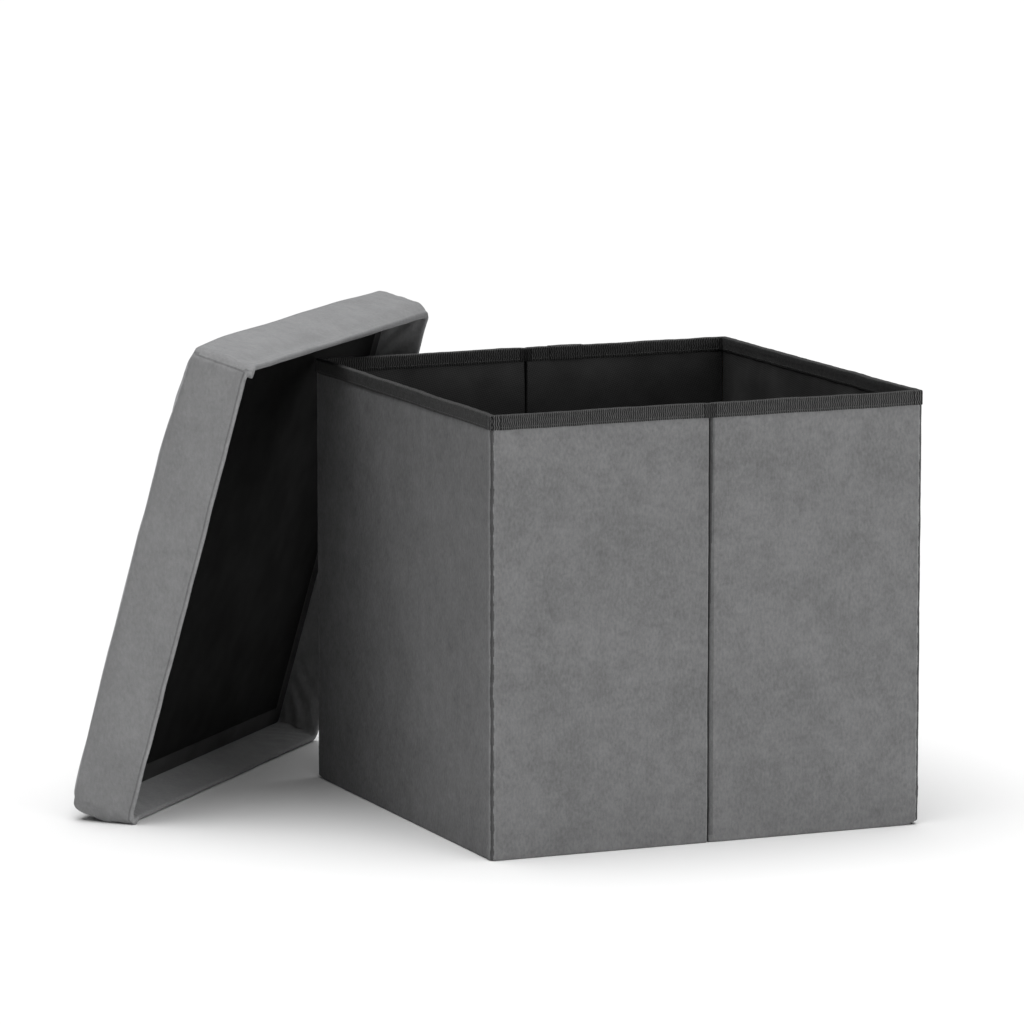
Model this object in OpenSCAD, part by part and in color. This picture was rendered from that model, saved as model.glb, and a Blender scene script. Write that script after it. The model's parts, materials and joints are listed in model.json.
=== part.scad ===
// Folding storage ottoman: a square box whose front and back walls fold inward at their
// middles, with a loose base board and a loose padded tray lid that leans on a box corner.
// The origin is the middle of the box's underside. X runs from the left wall to the right
// wall, and the front wall faces -Y.

/* [Box] */
// Outside width and depth of the box, over the velvet
body_w = 373; // [340:1:400]
// Height of the box, to the top of the binding
body_h = 352; // [300:1:380]
// Height of the soft hem that each wall stands on
hem_h = 6; // [6:0.5:8]

/* [Wall layers] */
// Thickness of a wall board
board_t = 3; // [2:0.5:4]
// Thickness of the velvet
velvet_t = 1; // [0.8:0.1:1.2]
// Thickness of the lining
lining_t = 0.8; // [0.6:0.1:1]

/* [Binding] */
// Height of the binding on each face of the rim
tape_h = 11.5; // [8:0.5:16]
// Thickness of the binding
tape_t = 0.6; // [0.4:0.1:0.8]

/* [Base] */
// Thickness of the base board
base_t = 3; // [2:0.5:3.5]
// Gap between the covered base board and the walls
base_gap = 1.7; // [1.5:0.1:4]
// Width of the cover's glued margin under the base board
base_margin = 20; // [10:1:40]

/* [Lid] */
// Gap on each side between the binding and the inside of the lid
lid_clear = 2.9; // [2.6:0.1:4]
// Depth of the tray, from the hem to its lining
tray_depth = 36; // [32:1:44]
// Thickness of the lid board
lid_board_t = 4; // [3:0.5:5]
// Thickness of the foam pad at its crown
pad_t = 21; // [14:0.5:24]
// Diameter of the frame's nails
nail_d = 1.6; // [1.2:0.1:2]
// Length of the frame's nails
nail_l = 25; // [15:1:25]

/* [Lid at rest] */
// Angle between the lid's standing edge and the X axis
lid_yaw = 46; // [40:1:50]
// Angle that the lid leans over from upright
lid_lean = 15.8; // [14:0.1:18]
// Distance along the lid's standing edge to the box corner
corner_along = 240.74; // [220:0.01:260]

/* [Hidden] */
velvet = [0.42, 0.42, 0.43];
black_cloth = [0.10, 0.10, 0.11];
tape_black = [0.16, 0.16, 0.17];
fibreboard = [0.62, 0.50, 0.36];
foam = [0.86, 0.84, 0.76];
steel = [0.70, 0.70, 0.72];

slip = 0.1;                                // least running gap between folded faces
end_gap = 0.3;                             // gap between a folding half and its hinge line
board_end = 1;                             // from a half's board to its hinge line
over = 1;                                  // how far a cut passes the piece it cuts
half = body_w / 2;
wall_t = velvet_t + board_t + lining_t;
hinge_in = half - wall_t - tape_t - slip;  // hinge lines at the corners, on the inner side
rim_z = body_h - tape_t;
fold_gap = 0.6;                            // from a half's cloth to the fold's middle
board_gap = 2;                             // from a half's board to the fold's middle
corner_reach = half - velvet_t - end_gap;  // half length of the boards that span the corners
hem_in = 0.2;                              // how far a hem is set in from the wall's faces
cloth_t = 0.8;                             // bottom cloth and base cover
base_w = 2 * (half - wall_t - base_gap);

opening = body_w + 2 * tape_t + 2 * lid_clear;
skirt_in = opening / 2;                    // inner face of the lid's velvet
skirt_board_in = skirt_in + velvet_t;
skirt_board_out = skirt_board_in + board_t;
lid_half = skirt_board_out + velvet_t;
lining_top = tray_depth + velvet_t;
frame_top = lining_top + lid_board_t;
edge_top = frame_top + velvet_t;           // where the skirt cover meets the top cover
cover_t = 1.2;
corner_r = 8;                              // round on the pad's upright corners
nail_z = lining_top + lid_board_t / 2;
nail_far = skirt_in - nail_l;              // places of the nails along a side
nail_near = nail_far / 3;
corner_nail_z = [10, 28];
pivot_gap = 0.05;
frame_corner_r = 7;                        // round on the skirt frame's outer corners
slab_t = 0.1;                              // the thin slabs that the crown is hulled from
pad_in = 1;                                // how far the pad's sides are set in
// The crown's rise from its edge to its middle: [share of the half width in, share up]
crown_steps = [[0, 0.40], [0.015, 0.66], [0.05, 0.88], [0.13, 0.96], [0.6, 1]];

// A block between two corners
module block(low, high) {
    translate(low) cube(high - low);
}

// The right wall is the left one turned half round; a back half is a front half mirrored.
module on_side(side) {
    rotate([0, 0, side == "left" ? 0 : 180]) children();
}

module on_half(side, row) {
    mirror([side == "left" ? 0 : 1, 0, 0])
        mirror([0, row == "front" ? 0 : 1, 0]) children();
}

// ---- Solid side walls ----

module side_board(side) {
    color(fibreboard) on_side(side)
        block([-half + velvet_t, -corner_reach, hem_h],
            [-half + velvet_t + board_t, corner_reach, rim_z]);
}

module side_velvet(side) {
    color(velvet) on_side(side)
        block([-half, -hinge_in, hem_h], [-half + velvet_t, hinge_in, rim_z]);
}

module side_lining(side) {
    reach = half - wall_t;
    color(black_cloth) on_side(side)
        block([-reach - lining_t, -reach, hem_h], [-reach, reach, rim_z]);
}

// The binding turns over the rim and goes round both corners of its side wall.
module side_binding(side) {
    out = half + tape_t;
    reach = half - wall_t;
    color(tape_black) on_side(side) {
        difference() {
            block([-out, -out, body_h - tape_h], [-reach + tape_t, out, body_h]);
            block([-half, -half, body_h - tape_h - over], [-reach, half, rim_z]);
            for (end = [-1, 1])
                translate([0, end * (out + hinge_in) / 2, 0])
                    block([-hinge_in, -(out - hinge_in) / 2, body_h - tape_h - over],
                        [0, (out - hinge_in) / 2, body_h + over]);
        }
    }
}

module side_hem(side) {
    color(velvet) on_side(side)
        block([-half + hem_in, -half + hem_in, 0],
            [-half + wall_t - hem_in, half - hem_in, hem_h]);
}

// ---- Folding halves of the front and back walls ----

module half_board(side, row) {
    color(fibreboard) on_half(side, row)
        block([-hinge_in + board_end, -half + velvet_t, hem_h],
            [-board_gap, -half + velvet_t + board_t, rim_z]);
}

module half_velvet(side, row) {
    color(velvet) on_half(side, row)
        block([-hinge_in + end_gap, -half, hem_h], [-fold_gap, -half + velvet_t, rim_z]);
}

module half_lining(side, row) {
    color(black_cloth) on_half(side, row)
        block([-hinge_in + end_gap, -half + velvet_t + board_t, hem_h],
            [-fold_gap, -half + wall_t, rim_z]);
}

module half_binding(side, row) {
    color(tape_black) on_half(side, row)
        difference() {
            block([-hinge_in + end_gap, -half - tape_t, body_h - tape_h],
                [-fold_gap, -half + wall_t + tape_t, body_h]);
            block([-half, -half, body_h - tape_h - over], [0, -half + wall_t, rim_z]);
        }
}

module half_hem(side, row) {
    color(velvet) on_half(side, row)
        block([-hinge_in + end_gap, -half + hem_in, 0],
            [-fold_gap, -half + wall_t - hem_in, hem_h]);
}

// ---- Corner seams, on the solid side walls ----

module corner_seam(side, row) {
    color(velvet) on_half(side, row)
        translate([0, 0, hem_h])
            linear_extrude(body_h - tape_h - hem_h)
                difference() {
                    translate([-half, -half]) square(half - hinge_in);
                    translate([-half + velvet_t, -half + velvet_t]) square(half);
                }
}

// ---- Bottom ----

module bottom_cloth() {
    reach = half - wall_t - hem_in;
    color(black_cloth) block([-reach, -reach, 0], [reach, reach, cloth_t]);
}

module base_board() {
    reach = base_w / 2 - cloth_t;
    color(fibreboard)
        block([-reach, -reach, 2 * cloth_t], [reach, reach, 2 * cloth_t + base_t]);
}

// The cover turns round the board's edges and is glued under it.
module base_cover() {
    out = base_w / 2;
    reach = out - cloth_t;
    color(black_cloth) difference() {
        block([-out, -out, cloth_t], [out, out, 3 * cloth_t + base_t]);
        block([-reach, -reach, 2 * cloth_t], [reach, reach, 2 * cloth_t + base_t]);
        block([-reach + base_margin, -reach + base_margin, 0],
            [reach - base_margin, reach - base_margin, 2 * cloth_t + over]);
    }
}

// ---- Lid: drawn as worn, hem at z = 0 and crown upward, then stood against the corner ----

// The lid's middle at rest: its hem stands on the floor, and the box corner reaches into the
// tray up to the lining.
lining_touch = 0.5;
lean_out = (sin(lid_lean) * body_h - tray_depth + lining_touch) / cos(lid_lean);
box_corner = [-half - tape_t, half + tape_t];
edge_way = [cos(lid_yaw), sin(lid_yaw)];
lean_way = [sin(lid_yaw), -cos(lid_yaw)];
stand_at = box_corner - lean_out * lean_way + (lid_half - corner_along) * edge_way;
middle_at = stand_at + lid_half * sin(lid_lean) * lean_way;

module lid_at_rest() {
    translate([middle_at[0], middle_at[1], lid_half * cos(lid_lean)])
        rotate([0, lid_lean - 90, lid_yaw - 90]) children();
}

// Turns a piece drawn on the lid's +X side to another side
module lid_side(side) {
    turn = side == "right" ? 0 : side == "back" ? 90 : side == "left" ? 180 : 270;
    rotate([0, 0, turn]) children();
}

module nail(d) {
    rotate([0, 90, 0]) cylinder(d = d, h = nail_l, $fn = 24);
}

// The nails of one side, driven inward through the skirt board into the lid board's edge
module edge_nails(d, places) {
    for (y = places)
        translate([skirt_board_out - nail_l, y, nail_z]) nail(d);
}

// The nails that join a long skirt board to the ends of the short ones
module corner_nails(d) {
    for (y = [-1, 1], z = corner_nail_z)
        translate([skirt_board_out - nail_l, y * (skirt_board_in + board_t / 2), z]) nail(d);
}

module pivot_nails(d) {
    for (side = ["front", "back"])
        lid_side(side) edge_nails(d, [side == "front" ? nail_far : -nail_far]);
}

module frame_nails() {
    every = [-nail_far, -nail_near, nail_near, nail_far];
    for (side = ["left", "right"]) lid_side(side) {
        edge_nails(nail_d, every);
        corner_nails(nail_d);
    }
    lid_side("front") edge_nails(nail_d, [for (y = every) if (y < nail_far) y]);
    lid_side("back") edge_nails(nail_d, [for (y = every) if (y > -nail_far) y]);
}

module nail_holes() {
    frame_nails();
    pivot_nails(nail_d + 2 * pivot_gap);
}

module long_skirt_board(side) {
    color(fibreboard) lid_at_rest() difference() {
        intersection() {
            lid_side(side)
                block([skirt_board_in, -skirt_board_out, velvet_t],
                    [skirt_board_out, skirt_board_out, frame_top]);
            linear_extrude(frame_top + over)
                offset(r = frame_corner_r, $fn = 48)
                    square(2 * (skirt_board_out - frame_corner_r), center = true);
        }
        nail_holes();
    }
}

module short_skirt_board(side) {
    color(fibreboard) lid_at_rest() difference() {
        lid_side(side)
            block([skirt_board_in, -skirt_board_in, velvet_t],
                [skirt_board_out, skirt_board_in, frame_top]);
        nail_holes();
    }
}

module lid_board() {
    color(fibreboard) lid_at_rest() difference() {
        block([-skirt_board_in, -skirt_board_in, lining_top],
            [skirt_board_in, skirt_board_in, frame_top]);
        nail_holes();
    }
}

module lid_frame_nails() {
    color(steel) lid_at_rest() frame_nails();
}

module lid_pivot_nails() {
    color(steel) lid_at_rest() pivot_nails(nail_d);
}

module lid_lining() {
    color(black_cloth) lid_at_rest()
        block([-skirt_in, -skirt_in, tray_depth], [skirt_in, skirt_in, lining_top]);
}

// One side's velvet: down the outside, round the hem and up the inside
module skirt_cover(side, long) {
    outer = long ? lid_half : skirt_board_out;
    hem = long ? lid_half : skirt_in;
    color(velvet) lid_at_rest() lid_side(side) {
        block([skirt_board_out, -outer, velvet_t], [lid_half, outer, edge_top]);
        block([skirt_in, -hem, 0], [lid_half, hem, velvet_t]);
        block([skirt_in, -skirt_in, velvet_t], [skirt_board_in, skirt_in, tray_depth]);
    }
}

// A crowned pad: square slabs that shrink as they rise, blended together
module crown(low, grow) {
    base = skirt_board_out - pad_in + grow;
    hull() {
        translate([0, 0, low]) rounded_slab(base);
        for (s = crown_steps)
            translate([0, 0, frame_top + pad_t * s[1] + grow - slab_t])
                rounded_slab(base * (1 - s[0]));
    }
}

module rounded_slab(reach) {
    linear_extrude(slab_t) offset(r = corner_r, $fn = 32)
        square(2 * (reach - corner_r), center = true);
}

module lid_pad() {
    color(foam) lid_at_rest() crown(frame_top, 0);
}

module lid_top_cover() {
    color(velvet) lid_at_rest() difference() {
        crown(edge_top, cover_t);
        crown(frame_top, 0);
    }
}

side_board("left");  // left_board
side_velvet("left");  // left_velvet
side_lining("left");  // left_lining
side_binding("left");  // left_binding
side_hem("left");  // left_hem
side_board("right");  // right_board
side_velvet("right");  // right_velvet
side_lining("right");  // right_lining
side_binding("right");  // right_binding
side_hem("right");  // right_hem
half_board("left", "front");  // front_left_board
half_velvet("left", "front");  // front_left_velvet
half_lining("left", "front");  // front_left_lining
half_binding("left", "front");  // front_left_binding
half_hem("left", "front");  // front_left_hem
half_board("right", "front");  // front_right_board
half_velvet("right", "front");  // front_right_velvet
half_lining("right", "front");  // front_right_lining
half_binding("right", "front");  // front_right_binding
half_hem("right", "front");  // front_right_hem
half_board("left", "back");  // back_left_board
half_velvet("left", "back");  // back_left_velvet
half_lining("left", "back");  // back_left_lining
half_binding("left", "back");  // back_left_binding
half_hem("left", "back");  // back_left_hem
half_board("right", "back");  // back_right_board
half_velvet("right", "back");  // back_right_velvet
half_lining("right", "back");  // back_right_lining
half_binding("right", "back");  // back_right_binding
half_hem("right", "back");  // back_right_hem
corner_seam("left", "front");  // front_left_corner_seam
corner_seam("right", "front");  // front_right_corner_seam
corner_seam("left", "back");  // back_left_corner_seam
corner_seam("right", "back");  // back_right_corner_seam
bottom_cloth();
base_board();
base_cover();
lid_board();
lid_pad();
lid_top_cover();
lid_lining();
long_skirt_board("left");  // lid_left_skirt_board
long_skirt_board("right");  // lid_right_skirt_board
short_skirt_board("front");  // lid_front_skirt_board
short_skirt_board("back");  // lid_back_skirt_board
skirt_cover("left", true);  // lid_left_cover
skirt_cover("right", true);  // lid_right_cover
skirt_cover("front", false);  // lid_front_cover
skirt_cover("back", false);  // lid_back_cover
lid_frame_nails();
lid_pivot_nails();
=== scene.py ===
import json
import math

import bmesh
import bpy
import numpy as np
from mathutils import Matrix, Vector

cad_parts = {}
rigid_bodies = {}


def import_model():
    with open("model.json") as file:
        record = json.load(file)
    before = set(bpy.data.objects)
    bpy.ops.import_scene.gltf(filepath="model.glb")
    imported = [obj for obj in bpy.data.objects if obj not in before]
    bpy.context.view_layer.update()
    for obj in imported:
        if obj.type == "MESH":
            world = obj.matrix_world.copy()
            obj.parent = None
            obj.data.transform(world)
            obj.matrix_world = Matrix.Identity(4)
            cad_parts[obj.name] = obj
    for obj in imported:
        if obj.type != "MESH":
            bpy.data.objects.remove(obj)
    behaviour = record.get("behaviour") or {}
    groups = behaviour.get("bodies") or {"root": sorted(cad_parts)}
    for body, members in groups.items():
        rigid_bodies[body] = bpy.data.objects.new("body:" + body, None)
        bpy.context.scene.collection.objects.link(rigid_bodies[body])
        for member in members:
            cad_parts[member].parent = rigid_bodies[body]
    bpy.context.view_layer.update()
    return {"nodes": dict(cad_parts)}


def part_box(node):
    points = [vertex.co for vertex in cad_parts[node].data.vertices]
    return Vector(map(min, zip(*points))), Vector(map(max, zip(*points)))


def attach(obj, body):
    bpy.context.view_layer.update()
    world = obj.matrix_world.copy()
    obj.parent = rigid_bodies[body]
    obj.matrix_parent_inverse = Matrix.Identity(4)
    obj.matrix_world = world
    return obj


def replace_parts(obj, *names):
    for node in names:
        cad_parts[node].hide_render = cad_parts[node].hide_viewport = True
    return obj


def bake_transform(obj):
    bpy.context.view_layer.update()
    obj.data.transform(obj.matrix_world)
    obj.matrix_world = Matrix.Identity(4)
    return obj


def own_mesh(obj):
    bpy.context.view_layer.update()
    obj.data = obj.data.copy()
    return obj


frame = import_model()
scene = bpy.context.scene
MM = 0.001

# ---- Sizes, from the CAD nodes ----
HALF = -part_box("left_velvet")[0].x                 # outside of the velvet
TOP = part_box("left_binding")[1].z                  # top of the binding
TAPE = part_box("left_binding")[0].z                 # lower edge of the binding
TAPE_T = -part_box("left_binding")[0].x - HALF       # thickness of the binding
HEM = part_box("left_velvet")[0].z                   # where each wall meets its hem
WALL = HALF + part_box("left_lining")[1].x           # thickness of a wall
FOLD = -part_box("front_left_velvet")[1].x           # from a half's cloth to the fold's middle
STRIP = 8 * MM                                     # reach of a corner piece from its corner
A = HALF - STRIP                                   # from a wall's middle to its corner piece

# The lid's place at rest, as the CAD has it: worn axes, hem at z = 0 and crown upward
YAW, LEAN = math.radians(46), math.radians(15.8)
LID = 195 * MM                                     # half width over the velvet
SKIRT_IN = 190 * MM                                # inside of the skirts
TRAY = 36 * MM                                     # depth of the tray
CROWN = 67.5 * MM                                  # top of the crown, as the pad swells it
BAND = 15 * MM                                     # lining left beyond its seam
NEAR_END = 240.74 * MM                             # from the corner it leans on to its near end
away = Vector((math.sin(YAW), -math.cos(YAW), 0))
along = Vector((math.cos(YAW), math.sin(YAW), 0))
lid_up = math.sin(LEAN) * away + Vector((0, 0, math.cos(LEAN)))
lid_face = math.cos(LEAN) * away - Vector((0, 0, math.sin(LEAN)))
reach_out = (math.sin(LEAN) * TOP - TRAY + 0.5 * MM) / math.cos(LEAN)
box_corner = Vector((-HALF - TAPE_T, HALF + TAPE_T, 0))
stand_at = box_corner - reach_out * away + (LID - NEAR_END) * along
lid_middle = stand_at + LID * math.sin(LEAN) * away
lid_middle.z = LID * math.cos(LEAN)
LID_PLACE = Matrix.Translation(lid_middle) @ Matrix((
    (lid_up.x, along.x, -lid_face.x, 0), (lid_up.y, along.y, -lid_face.y, 0),
    (lid_up.z, along.z, -lid_face.z, 0), (0, 0, 0, 1)))


# ---- Mesh helpers ----

WAVES = 14     # waves summed in a ripple


def ripple(p, size, seed):
    """Smooth wandering values, about -1 to 1, at points p, with features of that size."""
    rng = np.random.default_rng(seed)
    out = np.zeros(p.shape[:-1])
    for _ in range(WAVES):
        way = rng.normal(size=3)
        way *= 2 * math.pi / size * rng.uniform(0.5, 1.4) / np.linalg.norm(way)
        out += np.sin(p @ way + rng.uniform(0, 2 * math.pi))
    return out / math.sqrt(WAVES / 2) * 0.6


def smoothstep(x, a, b):
    """0 at a and before it, 1 at b and beyond, eased between. a may be larger than b."""
    t = np.clip((x - a) / (b - a), 0, 1)
    return t * t * (3 - 2 * t)


def dip(x, width):
    """1 at x = 0, falling to nothing a little beyond the width."""
    return np.exp(-(x / width) ** 2)


def lengths(p, axis):
    """Distance run along one direction of a grid, in its middle row."""
    middle = np.take(p, p.shape[1 - axis] // 2, axis=1 - axis)
    step = np.linalg.norm(np.diff(middle, axis=0), axis=1)
    return np.concatenate([[0], np.cumsum(step)])


def make(name, points, faces, uvs=None):
    mesh = bpy.data.meshes.new(name)
    mesh.from_pydata([tuple(x) for x in points], [], faces)
    if uvs is not None:
        layer = mesh.uv_layers.new(name="cloth")
        index = np.zeros(len(mesh.loops), int)
        mesh.loops.foreach_get("vertex_index", index)
        layer.data.foreach_set("uv", np.asarray(uvs)[index].astype(np.float32).ravel())
    mesh.update()
    obj = bpy.data.objects.new(name, mesh)
    scene.collection.objects.link(obj)
    for poly in mesh.polygons:
        poly.use_smooth = True
    return obj


def grid(name, p, flip=False):
    """A quad mesh over points p[i, j], with its UVs in metres."""
    ni, nj = p.shape[:2]
    uv = np.stack(np.meshgrid(lengths(p, 0), lengths(p, 1), indexing="ij"), -1).reshape(-1, 2)
    faces = []
    for i in range(ni - 1):
        for j in range(nj - 1):
            a, b = i * nj + j, (i + 1) * nj + j
            f = (a, b, b + 1, a + 1)
            faces.append(f[::-1] if flip else f)
    return make(name, p.reshape(-1, 3), faces, uv)


def join(name, parts):
    bpy.ops.object.select_all(action="DESELECT")
    for o in parts:
        o.select_set(True)
    bpy.context.view_layer.objects.active = parts[0]
    bpy.ops.object.join()
    parts[0].name = name
    return parts[0]


def face_point(k, s, z, d):
    """Points on side k of the box (0 front, 1 right, 2 back, 3 left): s along it, d outward."""
    x, y = s, -(HALF + d)
    c, n = ((1, 0), (0, 1), (-1, 0), (0, -1))[k]
    return np.stack(np.broadcast_arrays(x * c - y * n, x * n + y * c, z), -1)


def steps(a, b, step):
    """Even places from a to b, about a step apart."""
    return np.linspace(a, b, max(2, int(round(abs(b - a) / step)) + 1))


# ---- Node helpers for the materials ----

class Nodes:
    def __init__(self, name):
        self.material = bpy.data.materials.new(name)
        self.material.use_nodes = True
        self.tree = self.material.node_tree
        self.shader = self.tree.nodes["Principled BSDF"]

    def add(self, kind, **inputs):
        node = self.tree.nodes.new(kind)
        for key, value in inputs.items():
            self.put(node, key, value)
        return node

    def put(self, node, key, value):
        by_number = key[0] == "i" and key[1:].isdigit()
        socket = node.inputs[int(key[1:]) if by_number else key.replace("_", " ")]
        if isinstance(value, bpy.types.NodeSocket):
            self.tree.links.new(value, socket)
        else:
            socket.default_value = value

    def math(self, how, a, b=0.0, c=0.0):
        node = self.add("ShaderNodeMath", i0=a, i1=b, i2=c)
        node.operation = how
        return node.outputs[0]

    def noise(self, where, size, detail=2.0, rough=0.5):
        node = self.add("ShaderNodeTexNoise", Vector=where, Scale=1 / size, Detail=detail, Roughness=rough)
        return node.outputs["Fac"]

    def span(self, value, a, b, low=0.0, high=1.0):
        node = self.add("ShaderNodeMapRange", i0=value, i1=a, i2=b, i3=low, i4=high)
        return node.outputs[0]

    def mix(self, factor, a, b):
        node = self.add("ShaderNodeMix")
        node.data_type = "RGBA"
        self.put(node, "i0", factor)
        self.put(node, "i6", a)
        self.put(node, "i7", b)
        return node.outputs[2]

    def place(self, kind="Object"):
        return self.add("ShaderNodeTexCoord").outputs[kind]

    def stretch(self, where, scale):
        node = self.add("ShaderNodeMapping", Vector=where)
        node.inputs["Scale"].default_value = scale
        return node.outputs[0]

    def bump(self, height, distance, strength=1.0):
        return self.add("ShaderNodeBump", Height=height, Distance=distance, Strength=strength).outputs[0]

    def total(self, *parts):
        """The sum of (value, weight) pairs. A weight of None leaves its value whole."""
        out = None
        for value, weight in parts:
            value = value if weight is None else self.math("MULTIPLY", value, weight)
            out = value if out is None else self.math("ADD", out, value)
        return out

    def finish(self, color, rough, normal, **constants):
        self.put(self.shader, "Base Color", color)
        self.put(self.shader, "Roughness", rough)
        if normal is not None:
            self.put(self.shader, "Normal", normal)
        for key, value in constants.items():
            self.shader.inputs[key.replace("_", " ")].default_value = value
        return self.material


def grey(v, warm=0.0):
    """A grey of brightness v, warmer with warm above 0 and cooler below it."""
    return (v * (1 + warm), v, v * (1 - warm * 2.5), 1)


def velvet(name, level=1.0, sheen=0.10, even=0.0):
    """Short-pile velvet: cloudy where the pile lies differently, less so as even nears 1."""
    m = Nodes(name)
    at = m.place()
    cloud = m.noise(at, 42 * MM, 3, 0.55)
    patch = m.noise(at, 11 * MM, 3, 0.6)
    brushed = m.noise(m.stretch(at, (1, 1, 0.55)), 2.1 * MM, 2, 0.55)
    pile = m.noise(at, 0.8 * MM, 1, 0.6)
    lie = m.total((cloud, 0.26), (patch, 0.26), (brushed, 0.34), (pile, 0.14))
    low, high = 0.117 + 0.015 * even, 0.192 - 0.015 * even
    color = m.mix(m.span(lie, 0.36, 0.64), grey(low * level, -0.004), grey(high * level, -0.004))
    rough = m.span(lie, 0.36, 0.64, 0.92, 0.76)
    height = m.total((pile, 0.5), (brushed, None), (patch, 1.2))
    return m.finish(color, rough, m.bump(height, 0.25 * MM, 0.8), Specular_IOR_Level=0.22,
                    Sheen_Weight=sheen, Sheen_Roughness=0.35, Sheen_Tint=(0.82, 0.83, 0.86, 1))


def woven(name, dark, light, pitch, rough, distance, twill=0.0, gloss=0.25):
    """Plain or twill cloth over UVs in metres: warp and weft threads take turns on top."""
    m = Nodes(name)
    uv = m.add("ShaderNodeSeparateXYZ", i0=m.place("UV"))
    wander = m.math("MULTIPLY", m.noise(m.place("UV"), 9 * MM, 2), 0.9)
    turn = 2 * math.pi / pitch
    along_warp = m.math("ADD", uv.outputs[0], m.math("MULTIPLY", uv.outputs[1], twill))
    along_weft = m.math("SUBTRACT", uv.outputs[1], m.math("MULTIPLY", uv.outputs[0], twill))
    warp, weft = (m.math("SINE", m.total((run, turn), (wander, None))) for run in (along_warp, along_weft))
    thread = m.span(m.math("MULTIPLY", warp, weft), -1, 1)
    cloud = m.noise(m.place("UV"), 45 * MM, 3, 0.55)
    tone = m.total((thread, 0.6), (cloud, 0.55))
    color = m.mix(m.span(tone, 0.15, 0.95), grey(dark), grey(light))
    height = m.total((thread, None), (cloud, 1.5))
    return m.finish(color, m.span(cloud, 0.3, 0.7, rough + 0.06, rough - 0.06), m.bump(height, distance),
                    Specular_IOR_Level=gloss)


def ribbed(name, dark, light):
    """Grosgrain tape: ribs across the tape in rows that lean opposite ways."""
    m = Nodes(name)
    uv = m.add("ShaderNodeSeparateXYZ", i0=m.place("UV"))
    row = m.math("MULTIPLY", uv.outputs[1], 1 / (5.2 * MM))
    zigzag = m.math("ABSOLUTE", m.math("SUBTRACT", m.math("FRACT", row), 0.5))
    wander = m.math("MULTIPLY", m.noise(m.place("UV"), 5 * MM, 2), 3.4)
    phase = m.total((uv.outputs[0], 2 * math.pi / (1.6 * MM)), (zigzag, 4.4), (wander, None))
    rib = m.span(m.math("SINE", phase), -1, 1)
    fibre = m.noise(m.stretch(m.place("UV"), (1, 0.4, 1)), 0.7 * MM, 2, 0.6)
    patch = m.noise(m.place("UV"), 4 * MM, 2)
    tone = m.total((rib, 0.62), (m.math("ADD", fibre, patch), 0.28))
    color = m.mix(m.span(tone, 0.50, 0.95), grey(dark), grey(light))
    height = m.total((rib, None), (fibre, 0.4))
    return m.finish(color, m.span(tone, 0.2, 0.9, 0.8, 0.55), m.bump(height, 0.5 * MM),
                    Specular_IOR_Level=0.25, Sheen_Weight=0.05, Sheen_Roughness=0.4)


def board_look():
    m = Nodes("fibreboard")
    at = m.place()
    fleck = m.noise(at, 1.6 * MM, 3, 0.7)
    fibre = m.noise(m.stretch(at, (1, 1, 6)), 7 * MM, 3, 0.6)
    tone = m.total((fleck, 0.5), (fibre, 0.5))
    color = m.mix(m.span(tone, 0.35, 0.65), (0.17, 0.105, 0.058, 1), (0.33, 0.22, 0.13, 1))
    return m.finish(color, m.span(tone, 0.3, 0.7, 0.85, 0.6), m.bump(tone, 0.3 * MM), Specular_IOR_Level=0.3)


def foam_look():
    m = Nodes("foam")
    at = m.place()
    cells = m.add("ShaderNodeTexVoronoi", Vector=at, Scale=1 / (1.4 * MM)).outputs["Distance"]
    cloud = m.noise(at, 40 * MM, 3)
    color = m.mix(m.span(cloud, 0.35, 0.65), (0.58, 0.54, 0.43, 1), (0.74, 0.71, 0.60, 1))
    return m.finish(color, m.span(cells, 0, 0.6, 0.95, 0.8), m.bump(cells, 0.5 * MM), Specular_IOR_Level=0.2)


def steel_look():
    m = Nodes("nail_steel")
    brushed = m.noise(m.stretch(m.place(), (1, 6, 6)), 1.2 * MM, 3)
    color = m.mix(m.span(brushed, 0.3, 0.7), grey(0.42), grey(0.62))
    return m.finish(color, m.span(brushed, 0.3, 0.7, 0.45, 0.28), m.bump(brushed, 0.05 * MM), Metallic=1.0)


def thread_look():
    m = Nodes("black_thread")
    twist = m.noise(m.place(), 0.4 * MM, 2)
    color = m.mix(m.span(twist, 0.3, 0.7), grey(0.02), grey(0.06))
    return m.finish(color, m.span(twist, 0.3, 0.7, 0.7, 0.5), m.bump(twist, 0.1 * MM), Sheen_Weight=0.2)


# Looks of the velvet: (name, level, sheen, even), among them lighter and darker copies that carry painted
# light and shade, and of the other cloths
VELVET = velvet("velvet")
# The lid's velvet is a copy half again as light as the box's: painted light on the lid
LID_VELVET = velvet("lid_velvet", 1.50, 0.42, 1.0)
# Darker velvet for the lid's corner seams and a band above its hem: painted shade
LID_SEAM_SHADE = velvet("lid_velvet_painted_shade", 1.08)
# Lighter velvet for the lid's hem edge: painted highlight
LID_HEM_HIGHLIGHT = velvet("lid_velvet_painted_highlight", 1.75, 0.42)
# Dark velvet for the walls' seams and folds: painted shade
SEAM_SHADE = velvet("velvet_seam_painted_shade", 0.42)
# Nearly black velvet for the web in each fold: painted shade of the fold's gap
FOLD_SHADE = velvet("velvet_fold_painted_shade", 0.10, 0.02)
# Darker velvet for the wide roll beside a fold: painted shade
SHADED = velvet("velvet_roll_painted_shade", 0.76)
# Lighter velvet for edges beside folds and corner seams: painted highlight
LIT = velvet("velvet_edge_painted_highlight", 1.32)
LINING = woven("lining", 0.003, 0.056, 2.4 * MM, 0.7, 0.12 * MM, 0.5)
# A lighter copy of the lining for the right wall: painted light on its inner face
LIT_LINING = woven("lining_painted_light", 0.010, 0.100, 2.4 * MM, 0.7, 0.12 * MM, 0.5)
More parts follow.
